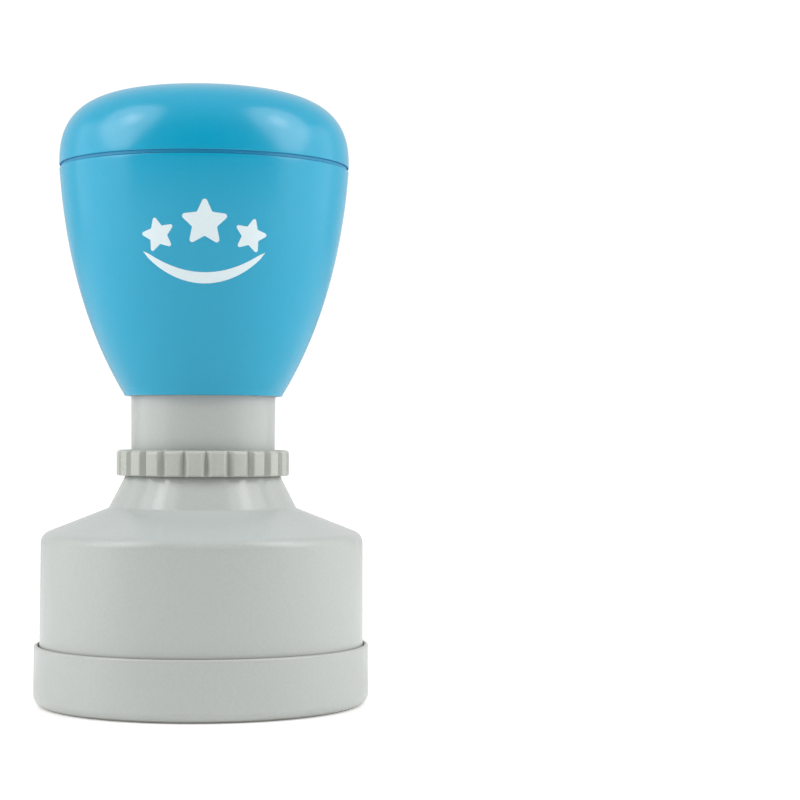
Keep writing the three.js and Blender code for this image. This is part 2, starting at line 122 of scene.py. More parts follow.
def softened(outline, steps=5):
    """A closed outline whose corners given with a third number are rounded to that size."""
    made = []
    count = len(outline)
    for i, corner in enumerate(outline):
        here = Vector(corner[:2])
        if len(corner) == 2:
            made.append(tuple(here))
            continue
        size = corner[2]
        back = (Vector(outline[i - 1][:2]) - here).normalized()
        ahead = (Vector(outline[(i + 1) % count][:2]) - here).normalized()
        half = back.angle(ahead) / 2
        centre = here + (back + ahead).normalized() * (size / math.sin(half))
        start = here + back * (size / math.tan(half)) - centre
        end = here + ahead * (size / math.tan(half)) - centre
        sweep = start.angle_signed(end)
        for k in range(steps + 1):
            spoke = start.copy()
            spoke.rotate(Matrix.Rotation(-sweep * k / steps, 2))
            made.append(tuple(centre + spoke))
    return made


# ---------------------------------------------------------------- meshes


def to_object(name, bm, sharp=40.0):
    """A smooth-shaded object from a bmesh in millimetres."""
    bmesh.ops.remove_doubles(bm, verts=bm.verts, dist=1e-5)
    bmesh.ops.recalc_face_normals(bm, faces=bm.faces)
    bmesh.ops.scale(bm, vec=(MM, MM, MM), verts=bm.verts)
    mesh = bpy.data.meshes.new(name)
    bm.to_mesh(mesh)
    bm.free()
    mesh.shade_smooth()
    mesh.set_sharp_from_angle(angle=math.radians(sharp))
    obj = bpy.data.objects.new(name, mesh)
    bpy.context.scene.collection.objects.link(obj)
    weighted = obj.modifiers.new("weighted_normals", "WEIGHTED_NORMAL")
    weighted.keep_sharp = True
    return obj


def on_circle(r, angle, z):
    return (r * math.cos(angle), r * math.sin(angle), z)


def spin(bm, outline, segments):
    """Turns an outline about the Z axis. It starts and ends on the axis, or else closes on itself."""
    rows = []
    for r, z in outline:
        if r < 1e-6:
            rows.append([bm.verts.new((0, 0, z))] * segments)
        else:
            turn = 2 * math.pi / segments
            rows.append([bm.verts.new(on_circle(r, turn * k, z)) for k in range(segments)])
    if outline[0][0] > 1e-6:
        rows.append(rows[0])
    bridge(bm, rows)


def bridge(bm, rows):
    """Faces between each closed row of vertices and the next."""
    for low, high in zip(rows, rows[1:]):
        for k in range(len(low)):
            n = (k + 1) % len(low)
            corners = list(dict.fromkeys((low[k], low[n], high[n], high[k])))
            if len(corners) > 2:
                bm.faces.new(corners)


def turned(name, outline, segments=ROUND, sharp=40.0):
    bm = bmesh.new()
    spin(bm, softened(outline), segments)
    return to_object(name, bm, sharp)


def place(obj, body, node, look):
    """The piece rides on a body, stands for a CAD node, and takes a slot and a material."""
    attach(obj, body)
    if node:
        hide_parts(node)
    obj.data.materials.clear()
    obj.data.materials.append(look)
    return obj


# ---------------------------------------------------------------- materials


class Graph:
    """Short calls for building one material's nodes."""

    def __init__(self, name):
        self.material = bpy.data.materials.new(name)
        self.material.use_nodes = True
        self.nodes = self.material.node_tree.nodes
        self.links = self.material.node_tree.links
        self.shader = self.nodes["Principled BSDF"]
        self.coords = self.nodes.new("ShaderNodeTexCoord").outputs["Object"]

    def link(self, output, target):
        self.links.new(output, target)

    def stretched(self, scale):
        node = self.nodes.new("ShaderNodeMapping")
        node.inputs["Scale"].default_value = scale
        self.link(self.coords, node.inputs["Vector"])
        return node.outputs["Vector"]

    def noise(self, scale, detail=2.0, roughness=0.5, stretch=(1, 1, 1)):
        node = self.nodes.new("ShaderNodeTexNoise")
        node.inputs["Scale"].default_value = scale
        node.inputs["Detail"].default_value = detail
        node.inputs["Roughness"].default_value = roughness
        self.link(self.stretched(stretch), node.inputs["Vector"])
        return node.outputs["Fac"]

    def cells(self, scale, stretch=(1, 1, 1)):
        node = self.nodes.new("ShaderNodeTexVoronoi")
        node.inputs["Scale"].default_value = scale
        self.link(self.stretched(stretch), node.inputs["Vector"])
        return node.outputs["Distance"]

    def crevice(self, distance):
        """0 in a narrow gap, 1 on open faces."""
        node = self.nodes.new("ShaderNodeAmbientOcclusion")
        node.samples = 8
        node.inputs["Distance"].default_value = distance
        return node.outputs["AO"]

    def spread(self, value, low, high, from_low=0.3, from_high=0.7):
        node = self.nodes.new("ShaderNodeMapRange")
        node.inputs["From Min"].default_value = from_low
        node.inputs["From Max"].default_value = from_high
        node.inputs["To Min"].default_value = low
        node.inputs["To Max"].default_value = high
        self.link(value, node.inputs["Value"])
        return node.outputs["Result"]

    def blend(self, factor, first, second):
        node = self.nodes.new("ShaderNodeMix")
        node.data_type = "RGBA"
        self.link(factor, node.inputs["Factor"])
        for socket, colour in (("A", first), ("B", second)):
            target = [s for s in node.inputs if s.name == socket and s.type == "RGBA"][0]
            if isinstance(colour, tuple):
                target.default_value = (*colour, 1)
            else:
                self.link(colour, target)
        return [s for s in node.outputs if s.type == "RGBA"][0]

    def calculate(self, operation, first, second):
        node = self.nodes.new("ShaderNodeMath")
        node.operation = operation
        for k, value in enumerate((first, second)):
            if isinstance(value, (int, float)):
                node.inputs[k].default_value = value
            else:
                self.link(value, node.inputs[k])
        return node.outputs["Value"]

    def colour(self, output):
        self.link(output, self.shader.inputs["Base Color"])

    def roughness(self, output):
        self.link(output, self.shader.inputs["Roughness"])

    def bump(self, height, distance, strength=1.0):
        node = self.nodes.new("ShaderNodeBump")
        node.inputs["Distance"].default_value = distance
        node.inputs["Strength"].default_value = strength
        self.link(height, node.inputs["Height"])
        self.link(node.outputs["Normal"], self.shader.inputs["Normal"])

    def set(self, **values):
        for name, value in values.items():
            self.shader.inputs[name.replace("_", " ")].default_value = value


GRAIN_SCALE = 5200.0      # noise cells per metre in the grain of a mould
CREVICE_REACH = 0.0006    # metres: how narrow a gap is when it gets painted shade, darker with a little dust


def shade(colour, factor):
    return tuple(c * factor for c in colour)


def moulded_plastic(name, colour, rough, grain, dust_and_shade=(0.34, 0.33, 0.295), open_at=0.75):
    """Injection-moulded plastic: fine grain, flow marks, uneven sheen, and gaps that are matt and painted
    darker, as shade with a little dust.
    """
    g = Graph(name)
    flow = g.spread(g.noise(45.0, 3.0, stretch=(1, 1, 0.5)), 0.0, 1.0)
    base = g.blend(flow, colour, shade(colour, 1.045))
    speckle = g.spread(g.noise(GRAIN_SCALE * 0.6, 1.0), 0.0, 0.30)
    speckled = g.blend(speckle, base, shade(colour, 0.86))
    open_air = g.crevice(CREVICE_REACH)
    # painted shade: where the AO mask closes in narrow gaps, the colour darkens to the gap tint, which is
    # shade with a little dust
    g.colour(g.blend(g.spread(open_air, 0.0, 1.0, 0.25, open_at), dust_and_shade, speckled))
    sheen = g.spread(g.noise(120.0, 4.0), rough - 0.03, rough + 0.03)
    matt_spots = g.spread(g.noise(2100.0, 2.0), -0.015, 0.015)
    worn = g.calculate("ADD", sheen, matt_spots)
    g.roughness(g.calculate("MAXIMUM", worn, g.spread(open_air, 0.9, 0.0, 0.4, 1.0)))
    g.bump(g.noise(GRAIN_SCALE, 2.0, 0.6), grain, 0.6)
    return g


def grey_plastic():
    g = moulded_plastic("grey_abs", (0.527, 0.552, 0.532), 0.17, 0.000006)
    g.set(IOR=1.43)
    return g.material


def ring_plastic():
    """The ring is moulded in a slightly warmer grey."""
    return moulded_plastic("warm_grey_abs", (0.535, 0.55, 0.50), 0.24, 0.000006).material


def blue_plastic():
    # the blue's gap tint is painted shade: a deeper blue for the shaded seam groove and the other gaps
    g = moulded_plastic(
        "blue_abs", (0.003, 0.392, 0.620), 0.23, 0.000004, dust_and_shade=(0.001, 0.15, 0.40), open_at=0.95
    )
    g.set(IOR=1.57)
    return g.material


def white_plastic():
    return moulded_plastic("white_pom", (0.76, 0.76, 0.73), 0.34, 0.000012).material


def print_ink():
    """White pad print: a thin film with pinholes, a little of the blue in it."""
    g = Graph("pad_print")
    holes = g.spread(g.noise(6000.0, 2.0), 0.0, 0.35, 0.35, 0.6)
    g.colour(g.blend(holes, (0.86, 0.97, 0.99), (0.70, 0.88, 0.96)))
    g.roughness(g.spread(g.noise(300.0, 3.0), 0.36, 0.5))
    g.bump(g.noise(4000.0, 2.0), 0.000008, 0.5)
    return g.material


def zinc_steel():
    """Bright zinc plate with turning marks and cloudy passivation."""
    g = Graph("zinc_steel")
    cloud = g.spread(g.noise(260.0, 4.0), 0.0, 1.0)
    g.colour(g.blend(cloud, (0.56, 0.57, 0.58), (0.66, 0.65, 0.60)))
    g.roughness(g.spread(g.noise(700.0, 3.0), 0.24, 0.42))
    g.bump(g.noise(2600.0, 3.0, stretch=(1, 1, 3)), 0.00002, 0.5)
    g.set(Metallic=1.0)
    return g.material


def spring_steel():
    """Drawn wire: fine streaks and a thin film of oil."""
    g = Graph("spring_steel")
    streaks = g.spread(g.noise(3200.0, 3.0, stretch=(1, 1, 6)), 0.0, 1.0)
    g.colour(g.blend(streaks, (0.42, 0.43, 0.45), (0.55, 0.55, 0.56)))
    g.roughness(g.spread(g.noise(900.0, 2.0), 0.2, 0.36))
    g.bump(streaks, 0.000006, 0.6)
    g.set(Metallic=1.0)
    return g.material


def black_rubber():
    """Nitrile rubber: matt, with bloom and fine pits."""
    g = Graph("black_rubber")
    bloom = g.spread(g.noise(500.0, 4.0), 0.0, 1.0)
    g.colour(g.blend(bloom, (0.018, 0.018, 0.020), (0.05, 0.05, 0.052)))
    g.roughness(g.spread(g.noise(800.0, 3.0), 0.6, 0.85))
    g.bump(g.noise(5000.0, 2.0), 0.00002, 0.6)
    return g.material


def ink_felt():
    """Needled felt soaked with blue ink: tangled fibres, darker where it is wet."""
    g = Graph("ink_felt")
    across = g.noise(2400.0, 5.0, 0.7, stretch=(1, 0.16, 1))
    along = g.noise(2400.0, 5.0, 0.7, stretch=(0.16, 1, 1))
    fibres = g.calculate("MAXIMUM", across, along)
    wet = g.spread(g.noise(120.0, 3.0), 0.0, 1.0)
    inked = g.calculate("MULTIPLY", g.spread(fibres, 0.2, 1.0), wet)
    g.colour(g.blend(inked, (0.006, 0.012, 0.16), (0.04, 0.08, 0.52)))
    g.roughness(g.spread(wet, 0.9, 0.55, 0, 1))
    g.bump(fibres, 0.00018, 0.9)
    g.set(Sheen_Weight=0.3)
    return g.material


def flash_foam():
    """Micro-porous foam: open cells, inked where it prints."""
    g = Graph("flash_foam")
    pores = g.cells(5200.0)
    ink = g.spread(g.noise(220.0, 3.0), 0.0, 1.0)
    inked = g.blend(ink, (0.012, 0.03, 0.34), (0.03, 0.07, 0.55))
    g.colour(g.blend(g.spread(pores, 0.0, 0.5, 0.2, 0.6), inked, (0.004, 0.01, 0.15)))
    g.roughness(g.spread(g.noise(900.0, 2.0), 0.55, 0.8))
    g.bump(pores, 0.00004, 0.7)
    return g.material


GREY = grey_plastic()
RING_GREY = ring_plastic()
BLUE = blue_plastic()
WHITE = white_plastic()
PRINT = print_ink()
ZINC = zinc_steel()
SPRING = spring_steel()
RUBBER = black_rubber()
FELT = ink_felt()
FOAM = flash_foam()

# ---------------------------------------------------------------- dust cap

SKIRT_GAP = 0.15
CAP_FLOOR = 1.5
CAP_FOOT_FILLET = 1.6
CAP_RIM_ROUND = 0.3
CAP_DRAFT = 0.05
CAP_CORNER_ROUND = 1.0


def dust_cap():
    foot = radius("dust_cap")
    rim = foot - CAP_DRAFT
    height = top("dust_cap")
    bore = radius("housing") + SKIRT_GAP
    outline = [
        (0, 0),
        *arc(foot - CAP_FOOT_FILLET, CAP_FOOT_FILLET, CAP_FOOT_FILLET, -90, 0, 12),
        (rim, height, CAP_RIM_ROUND),
        (bore, height, CAP_RIM_ROUND),
        (bore, CAP_FLOOR, CAP_CORNER_ROUND),
        (0, CAP_FLOOR),
    ]
    return place(turned("cap_bowl", outline), "dust_cap", "dust_cap", GREY)


# ---------------------------------------------------------------- housing

SKIRT_CHAMFER = 0.9
DRUM_TOP_RADIUS = 23.08
SHOULDER_Z = 24.3
SHOULDER_FILLET = 1.7
KNEE_RADIUS = 13.49
KNEE_Z = 28.08
KNEE_FILLET = 0.6
CONE_TOP_RADIUS = 10.87
SHELL_WALL = 1.6
SKIRT_WALL = 1.7
CONE_WALL = 1.3
COLLAR_BORE = 10.1
COLLAR_BOTTOM = 30.4
COLLAR_RELIEF = 0.3    # step under the collar that the ring's lip snaps below
WEB_CORNER_RISE = 1.0
WEB_CORNER_RUN = 0.6
WEB_INSET = 2.4        # from the knee to where the web's underside meets the dish
WEB_BOTTOM = 24.0
WEB_TOP = 25.8
GUIDE_TOP = 29.3
GUIDE_RADIUS = 10.3
GUIDE_BORE = 9.05
STEM_HOLE = 3.6


def housing():
    cone_top = top("housing")
    slope = math.atan2(KNEE_Z - SHOULDER_Z, DRUM_TOP_RADIUS - KNEE_RADIUS)
    drop = SHELL_WALL / math.cos(slope)
    skirt = radius("housing")
    skirt_bore = skirt - SKIRT_WALL
    cone_run = (KNEE_RADIUS - CONE_TOP_RADIUS) / (cone_top - KNEE_Z)
    foot = bottom("housing")
    pocket = COLLAR_BOTTOM - COLLAR_RELIEF
    corner = WEB_TOP + WEB_CORNER_RISE

    def under_shoulder(r):
        return SHOULDER_Z + (DRUM_TOP_RADIUS - r) * math.tan(slope) - drop

    def cone_inside(z):
        return CONE_TOP_RADIUS + (cone_top - z) * cone_run - CONE_WALL

    outline = [
        (skirt - SKIRT_CHAMFER, foot, FINE_BREAK),
        (skirt, foot + SKIRT_CHAMFER, 0.3),
        (skirt, top("dust_cap")),
        (DRUM_TOP_RADIUS, SHOULDER_Z, SHOULDER_FILLET),
        (KNEE_RADIUS, KNEE_Z, KNEE_FILLET),
        (CONE_TOP_RADIUS, cone_top, EDGE_BREAK),
        (COLLAR_BORE, cone_top, FINE_BREAK),
        (COLLAR_BORE, COLLAR_BOTTOM),
        (cone_inside(pocket), pocket),
        (cone_inside(corner), corner),
        (cone_inside(corner) - WEB_CORNER_RUN, WEB_TOP),
        (GUIDE_RADIUS, WEB_TOP),
        (GUIDE_RADIUS, GUIDE_TOP, EDGE_BREAK),
        (GUIDE_BORE, GUIDE_TOP, EDGE_BREAK),
        (GUIDE_BORE, WEB_TOP),
        (STEM_HOLE, WEB_TOP, EDGE_BREAK),
        (STEM_HOLE, WEB_BOTTOM, EDGE_BREAK),
        (KNEE_RADIUS - WEB_INSET, WEB_BOTTOM),
        (KNEE_RADIUS + 1, under_shoulder(KNEE_RADIUS + 1)),
        (skirt_bore, under_shoulder(skirt_bore), 0.6),
        (skirt_bore, foot, 0.3),
    ]
    return place(turned("drum_and_cone", outline), "base", "housing", GREY)


# ---------------------------------------------------------------- depth ring

TEETH = 24
TOOTH_PHASE = math.radians(2.1)      # from the front to the first groove
TOOTH_DEPTH = 0.77
TIP_SHARE = 0.57
ROOT_SHARE = 0.05
TIP_ROUND = 0.28
ROOT_ROUND = 0.12
RING_TOP_ROUND = 0.55
RING_FOOT_ROUND = 0.3
RING_HUB_RADIUS = 9.95
RING_LIP_RADIUS = 10.5
RING_LIP_LAND = 0.2
RING_LIP_LEAD = 0.4       # lead-in that lets the lip snap through the collar
RING_LIP_TOP = 30.15
RING_COUNTERBORE = 10.5
RING_COUNTERBORE_Z = 34.0
RING_BORE = 8.9
RING_BOTTOM = 32.74
RING_RECESS_RADIUS = 11.3
RING_RECESS_TOP = 33.35


def tooth_outline(tip):
    """The ring's toothed outline seen from above, as (radius, angle) pairs."""
    root = tip - TOOTH_DEPTH
    corners = [
        (root, -ROOT_SHARE / 2, ROOT_ROUND),
        (root, ROOT_SHARE / 2, ROOT_ROUND),
        (tip, (1 - TIP_SHARE) / 2, TIP_ROUND),
        (tip, 0.5 - TIP_SHARE / 5, None),
        (tip, 0.5, None),
        (tip, 0.5 + TIP_SHARE / 5, None),
        (tip, (1 + TIP_SHARE) / 2, TIP_ROUND),
    ]
    outline = []
    for tooth in range(TEETH):
        for r, share, size in corners:
            angle = TOOTH_PHASE - math.pi / 2 + (tooth + share) * 2 * math.pi / TEETH
            x, y, _ = on_circle(r, angle, 0)
            outline.append((x, y, size) if size else (x, y))
    return [(math.hypot(x, y), math.atan2(y, x)) for x, y in softened(outline, 4)]


def adjusting_ring():
    tip = radius("adjusting_ring")
    high = top("adjusting_ring")
    foot = bottom("adjusting_ring")
    teeth = tooth_outline(tip)
    toothed = [
        *arc(tip - RING_FOOT_ROUND, RING_BOTTOM + RING_FOOT_ROUND, RING_FOOT_ROUND, -90, 0, 4),
        *arc(tip - RING_TOP_ROUND, high - RING_TOP_ROUND, RING_TOP_ROUND, 0, 90, 8),
    ]
    inner = softened([
        (RING_COUNTERBORE, high, 0.2),
        (RING_COUNTERBORE, RING_COUNTERBORE_Z),
        (RING_BORE, RING_COUNTERBORE_Z, EDGE_BREAK),
        (RING_BORE, foot, EDGE_BREAK),
        (RING_LIP_RADIUS - RING_LIP_LEAD, foot),
        (RING_LIP_RADIUS, RING_LIP_TOP - RING_LIP_LAND),
        (RING_LIP_RADIUS, RING_LIP_TOP),
        (RING_HUB_RADIUS, RING_LIP_TOP),
        (RING_HUB_RADIUS, RING_RECESS_TOP),
        (RING_RECESS_RADIUS, RING_RECESS_TOP),
        (RING_RECESS_RADIUS, RING_BOTTOM),
    ])
    bm = bmesh.new()
    rows = []
    for r, z in toothed:
        rows.append([bm.verts.new(on_circle(min(r, edge), angle, z)) for edge, angle in teeth])
    for r, z in inner:
        rows.append([bm.verts.new(on_circle(r, angle, z)) for _, angle in teeth])
    bridge(bm, [*rows, rows[0]])
    return place(to_object("toothed_ring", bm, 38.0), "ring", "adjusting_ring", RING_GREY)


# ---------------------------------------------------------------- neck

NECK_STEP_RADIUS = 10.3
NECK_STEP_Z = 35.2
NECK_BORE = 8.9
NECK_BORE_Z = 36.6
NECK_BORE_TAPER = 1.0
SHANK_RADIUS = 8.7
SHANK_BORE = 7.3


def neck_sleeve():
    wide = radius("neck_sleeve")
    high = top("neck_sleeve")
    low = bottom("neck_sleeve")
    outline = [
        (NECK_STEP_RADIUS, NECK_STEP_Z, 0.1),
        (wide, high, 0.4),
        (NECK_BORE, high, 0.3),
        (NECK_BORE, NECK_BORE_Z),
        (SHANK_BORE, NECK_BORE_Z - NECK_BORE_TAPER),
        (SHANK_BORE, low, EDGE_BREAK),
        (SHANK_RADIUS, low, EDGE_BREAK),
        (SHANK_RADIUS, NECK_STEP_Z),
    ]
    return place(turned("neck_tube", outline), "neck", "neck_sleeve", GREY)


# ---------------------------------------------------------------- handle

HANDLE_WALL = 1.6
HANDLE_RIM_RADIUS = 11.43
HANDLE_MOUTH = 10.65
HANDLE_MOUTH_STEP = 1.2       # the mouth's collar is this thick
FLANK_LOW = (17.24, 54.1)     # the two inner control points of the flank's curve
FLANK_HIGH = (19.98, 65.45)
EDGE_ROUND = 0.3
SEAM_ROUND = 0.10             # edges of the groove along the seam
SEAM_DEPTH = 0.30             # the dome's land is the groove's floor
SEAM_GAP = 0.03               # between the land and the grip's top
SEAM_SINK = 0.06              # the grip's top is this much below its box
SEAM_TOP = 77.25
SPIGOT_RADIUS = 18.75
SPIGOT_WALL = 1.35


def grip_top():
    return top("handle_shell") - SEAM_SINK


def flank(inset, steps=64):
    """The grip's flank from its rim to the seam, moved in by an inset."""
    corners = (
        (HANDLE_RIM_RADIUS, bottom("handle_shell") + EDGE_ROUND),
        FLANK_LOW,
        FLANK_HIGH,
        (radius("handle_shell"), grip_top() - SEAM_ROUND),
    )
    return bezier(*[(r - inset, z) for r, z in corners], steps)


def handle_shell():
    low = bottom("handle_shell")
    high = grip_top()
    wide = radius("handle_shell")
    inside = [p for p in flank(HANDLE_WALL) if p[0] > HANDLE_MOUTH + 0.2]
    outline = [
        *arc(HANDLE_RIM_RADIUS - EDGE_ROUND, low + EDGE_ROUND, EDGE_ROUND, -90, 0),
        *flank(0)[1:],
        *arc(wide - SEAM_ROUND, high - SEAM_ROUND, SEAM_ROUND, 0, 90)[1:],
        (wide - HANDLE_WALL, high, EDGE_BREAK),
        *reversed(inside),
        (HANDLE_MOUTH, inside[0][1] - HANDLE_MOUTH_STEP),
        (HANDLE_MOUTH, low, EDGE_BREAK),
    ]
    return place(turned("grip", outline), "handle", "handle_shell", BLUE)


def handle_cap():
    wide = radius("handle_cap")
    high = top("handle_cap")
    low = bottom("handle_cap")
    land = grip_top() + SEAM_GAP
    base = SEAM_TOP + SEAM_ROUND
    inner_r = SPIGOT_RADIUS - SPIGOT_WALL
    outline = [
        *reversed(quarter_dome(inner_r, SEAM_TOP, high - HANDLE_WALL - SEAM_TOP)),
        (inner_r, low, 0.2),
        (SPIGOT_RADIUS, low, 0.4),
        (SPIGOT_RADIUS, land),
        (wide - SEAM_DEPTH, land, 0.05),
        (wide - SEAM_DEPTH, SEAM_TOP),
        *arc(wide - SEAM_ROUND, base, SEAM_ROUND, -90, 0),
        *quarter_dome(wide, base, high - base)[1:],
    ]
    return place(turned("dome", outline), "handle_cap", "handle_cap", BLUE)


# ---------------------------------------------------------------- the mark: three stars over a smile

STAR_WAIST = 0.48          # inner radius of a star over its outer radius
STAR_TIP_ROUND = 0.10      # roundings over the outer radius
STAR_NOTCH_ROUND = 0.06


def star(x, y, size, tilt=0.0):
    points = []
    for i in range(10):
        reach, rounding = (STAR_WAIST, STAR_NOTCH_ROUND) if i % 2 else (1.0, STAR_TIP_ROUND)
        angle = math.pi / 2 + math.radians(tilt) + math.pi * i / 5
        spoke = (x + size * reach * math.cos(angle), y + size * reach * math.sin(angle))
        points.append((*spoke, size * rounding))
    return softened(points)


def crescent(half_width, drop, thickness):
    """A smile: the space between two parabolas, with rounded ends."""
    steps = 24
    lower = []
    upper = []
    for i in range(steps + 1):
        t = 2 * i / steps - 1
        middle = -drop * (1 - t * t)
        swell = thickness / 2 * (1 - t * t) ** 0.5
        lower.append((half_width * t, middle - swell))
        upper.append((half_width * t, middle + swell))
    return lower + upper[-2:0:-1]


def flat_shapes(outlines, cell=0.5):
    """The outlines as flat faces in XY, cut into cells small enough to bend."""
    bm = bmesh.new()
    for outline in outlines:
        bm.faces.new([bm.verts.new((x, y, 0)) for x, y in outline])
    bmesh.ops.triangulate(bm, faces=bm.faces)
    reach = max(max(abs(c) for c in v.co) for v in bm.verts)
    for axis in (Vector((1, 0, 0)), Vector((0, 1, 0))):
        cut = -reach + cell / 2
        while cut < reach:
            geometry = bm.verts[:] + bm.edges[:] + bm.faces[:]
            bmesh.ops.bisect_plane(bm, geom=geometry, plane_co=axis * cut, plane_no=axis)
            cut += cell
    return bm


def thickened(bm, outer, inner):
    """Closes flat faces into thin solids: each vertex goes to outer(x, y), and a twin to inner(x, y)."""
    flat = {v: (v.co.x, v.co.y) for v in bm.verts}
    rims = [e.verts[:] for e in bm.edges if e.is_boundary]
    faces = bm.faces[:]
    twins = {v: bm.verts.new(inner(x, y)) for v, (x, y) in flat.items()}
    for v, (x, y) in flat.items():
        v.co = outer(x, y)
    for face in faces:
        bm.faces.new([twins[v] for v in reversed(face.verts)])
    for a, b in rims:
        bm.faces.new((a, b, twins[b], twins[a]))


MARK_Z = 65.2
MARK_FILM = 0.03
MARK_SUNK = 0.04       # the print's back is inside the grip's wall
SIDE_STAR = 2.7
SIDE_STAR_AT = (6.4, 0.6)
SIDE_STAR_TILT = 14
MIDDLE_STAR = 3.7
MIDDLE_STAR_Z = 2.2
SMILE_HALF_WIDTH = 8.6
SMILE_DROP = 3.6
SMILE_THICKNESS = 1.5
SMILE_Z = -1.6


def mark():
    profile = flank(0, 200)

    def on_grip(lift):
        def at(x, y):
            z = MARK_Z + y
            k = next(i for i, p in enumerate(profile) if p[1] >= z)
            (r0, z0), (r1, z1) = profile[k - 1], profile[k]
            r = r0 + (r1 - r0) * (z - z0) / (z1 - z0)
            return on_circle(r + lift, -math.pi / 2 + x / r, z)
        return at

    across, up = SIDE_STAR_AT
    smile = crescent(SMILE_HALF_WIDTH, SMILE_DROP, SMILE_THICKNESS)
    bm = flat_shapes([
        star(-across, up, SIDE_STAR, SIDE_STAR_TILT),
        star(0, MIDDLE_STAR_Z, MIDDLE_STAR),
        star(across, up, SIDE_STAR, -SIDE_STAR_TILT),
        [(x, y + SMILE_Z) for x, y in smile],
    ])
    thickened(bm, on_grip(MARK_FILM), on_grip(-MARK_SUNK))
    obj = to_object("printed_mark", bm, 50.0)
    return place(obj, "handle", None, PRINT)


# ---------------------------------------------------------------- inside the handle

CORE_TUBE_RADIUS = 11.7
CORE_WEB_BOTTOM = 53.8
CORE_RIM_LOW_RADIUS = 13.9


def handle_core():
    low = bottom("handle_core")
    high = top("handle_core")
    outline = [
        (HANDLE_MOUTH, low, 0.2),
        (CORE_TUBE_RADIUS, low, 0.2),
        (CORE_TUBE_RADIUS, CORE_WEB_BOTTOM),
        (CORE_RIM_LOW_RADIUS, CORE_WEB_BOTTOM, EDGE_BREAK),
        (radius("handle_core"), high, EDGE_BREAK),
        (STEM_HOLE, high, EDGE_BREAK),
        (STEM_HOLE, CORE_WEB_BOTTOM, EDGE_BREAK),
        (HANDLE_MOUTH, CORE_WEB_BOTTOM),
    ]
    return place(turned("core", outline), "handle", "handle_core", WHITE)


STEM_RADIUS = 3.4
STEM_BORE = 1.9
STEM_COLLAR_BOTTOM = 52.6
STEM_COLLAR_TOP = 53.7
THREAD_START = 56.6
THREAD_PITCH = 0.75
THREAD_DEPTH = 0.28


def stem():
    """The hollow rod, with a real thread where the nut sits."""
    low = bottom("stem")
    high = top("stem")
    collar = radius("stem")
    plain = softened([
        (STEM_BORE, low, 0.1),
        (STEM_RADIUS, low, 0.2),
        (STEM_RADIUS, STEM_COLLAR_BOTTOM),
        (collar, STEM_COLLAR_BOTTOM, EDGE_BREAK),
        (collar, STEM_COLLAR_TOP, EDGE_BREAK),
        (STEM_RADIUS, STEM_COLLAR_TOP),
        (STEM_RADIUS, THREAD_START),
    ])
    segments = ROUND_SMALL
    turn = 2 * math.pi / segments
    bm = bmesh.new()
    rows = [[bm.verts.new(on_circle(r, turn * k, z)) for k in range(segments)] for r, z in plain]
    steps = 64
    for i in range(1, steps + 1):
        z = THREAD_START + (high - THREAD_START) * i / steps
        fade = min(1.0, i / 6, 0.25 + (steps - i) / 5)
        lead_in = max(0.0, 0.3 - (high - z)) * 0.8
        row = []
        for k in range(segments):
            phase = (z / THREAD_PITCH - k / segments) % 1.0
            groove = THREAD_DEPTH * fade * max(0.0, 1 - abs(phase - 0.5) * 2.6)
            row.append(bm.verts.new(on_circle(STEM_RADIUS - max(groove, lead_in), turn * k, z)))
        rows.append(row)
    rows.append([bm.verts.new(on_circle(STEM_BORE, turn * k, high)) for k in range(segments)])
    bridge(bm, [*rows, rows[0]])
    return place(to_object("hollow_stem", bm), "handle", "stem", WHITE)


def washer(name, node, body):
    wide = radius(node)
    outline = [
        (STEM_HOLE, bottom(node), 0.1),
        (wide, bottom(node), 0.18),
        (wide, top(node), 0.1),
        (STEM_HOLE, top(node), 0.18),
    ]
    return place(turned(name, outline, ROUND_SMALL), body, node, ZINC)


NUT_FLATS = 11.0


def stem_nut():
    """Hexagon nut: the flats run out in the curved edge that a chamfer cuts."""
    low = bottom("stem_nut")
    high = top("stem_nut")
    segments = ROUND_SMALL
    corner = NUT_FLATS / math.sqrt(3)
    chamfer = 0.55
    levels = [
        (NUT_FLATS / 2 - 0.15, low),
        *[(corner - chamfer * (1 - i / 4) * 1.6, low + chamfer * i / 4) for i in range(1, 5)],
        *[(corner - chamfer * i / 4 * 1.6, high - chamfer + chamfer * i / 4) for i in range(4)],
        (NUT_FLATS / 2 - 0.15, high),
        (STEM_HOLE + 0.4, high),
        (STEM_HOLE, high - 0.4),
        (STEM_HOLE, low + 0.4),
        (STEM_HOLE + 0.4, low),
    ]
    bm = bmesh.new()
    rows = []
    for limit, z in levels:
        row = []
        for k in range(segments):
            angle = 2 * math.pi * k / segments
            flat = (angle + math.pi / 6) % (math.pi / 3) - math.pi / 6
            hexagon = NUT_FLATS / 2 / math.cos(math.pi / 6 - abs(flat))
            row.append(bm.verts.new(on_circle(min(limit, hexagon), angle, z)))
        rows.append(row)
    bridge(bm, [*rows, rows[0]])
    return place(to_object("hex_nut", bm, 25.0), "handle", "stem_nut", ZINC)


PLUG_SHANK_RADIUS = 1.75
PLUG_HEAD_HEIGHT = 1.8
PLUG_LEAD = 0.4
PLUG_LEAD_LENGTH = 0.8
PLUG_DIMPLE_RADIUS = 1.2
PLUG_DIMPLE_FLARE = 0.3
PLUG_DIMPLE_DEPTH = 0.35


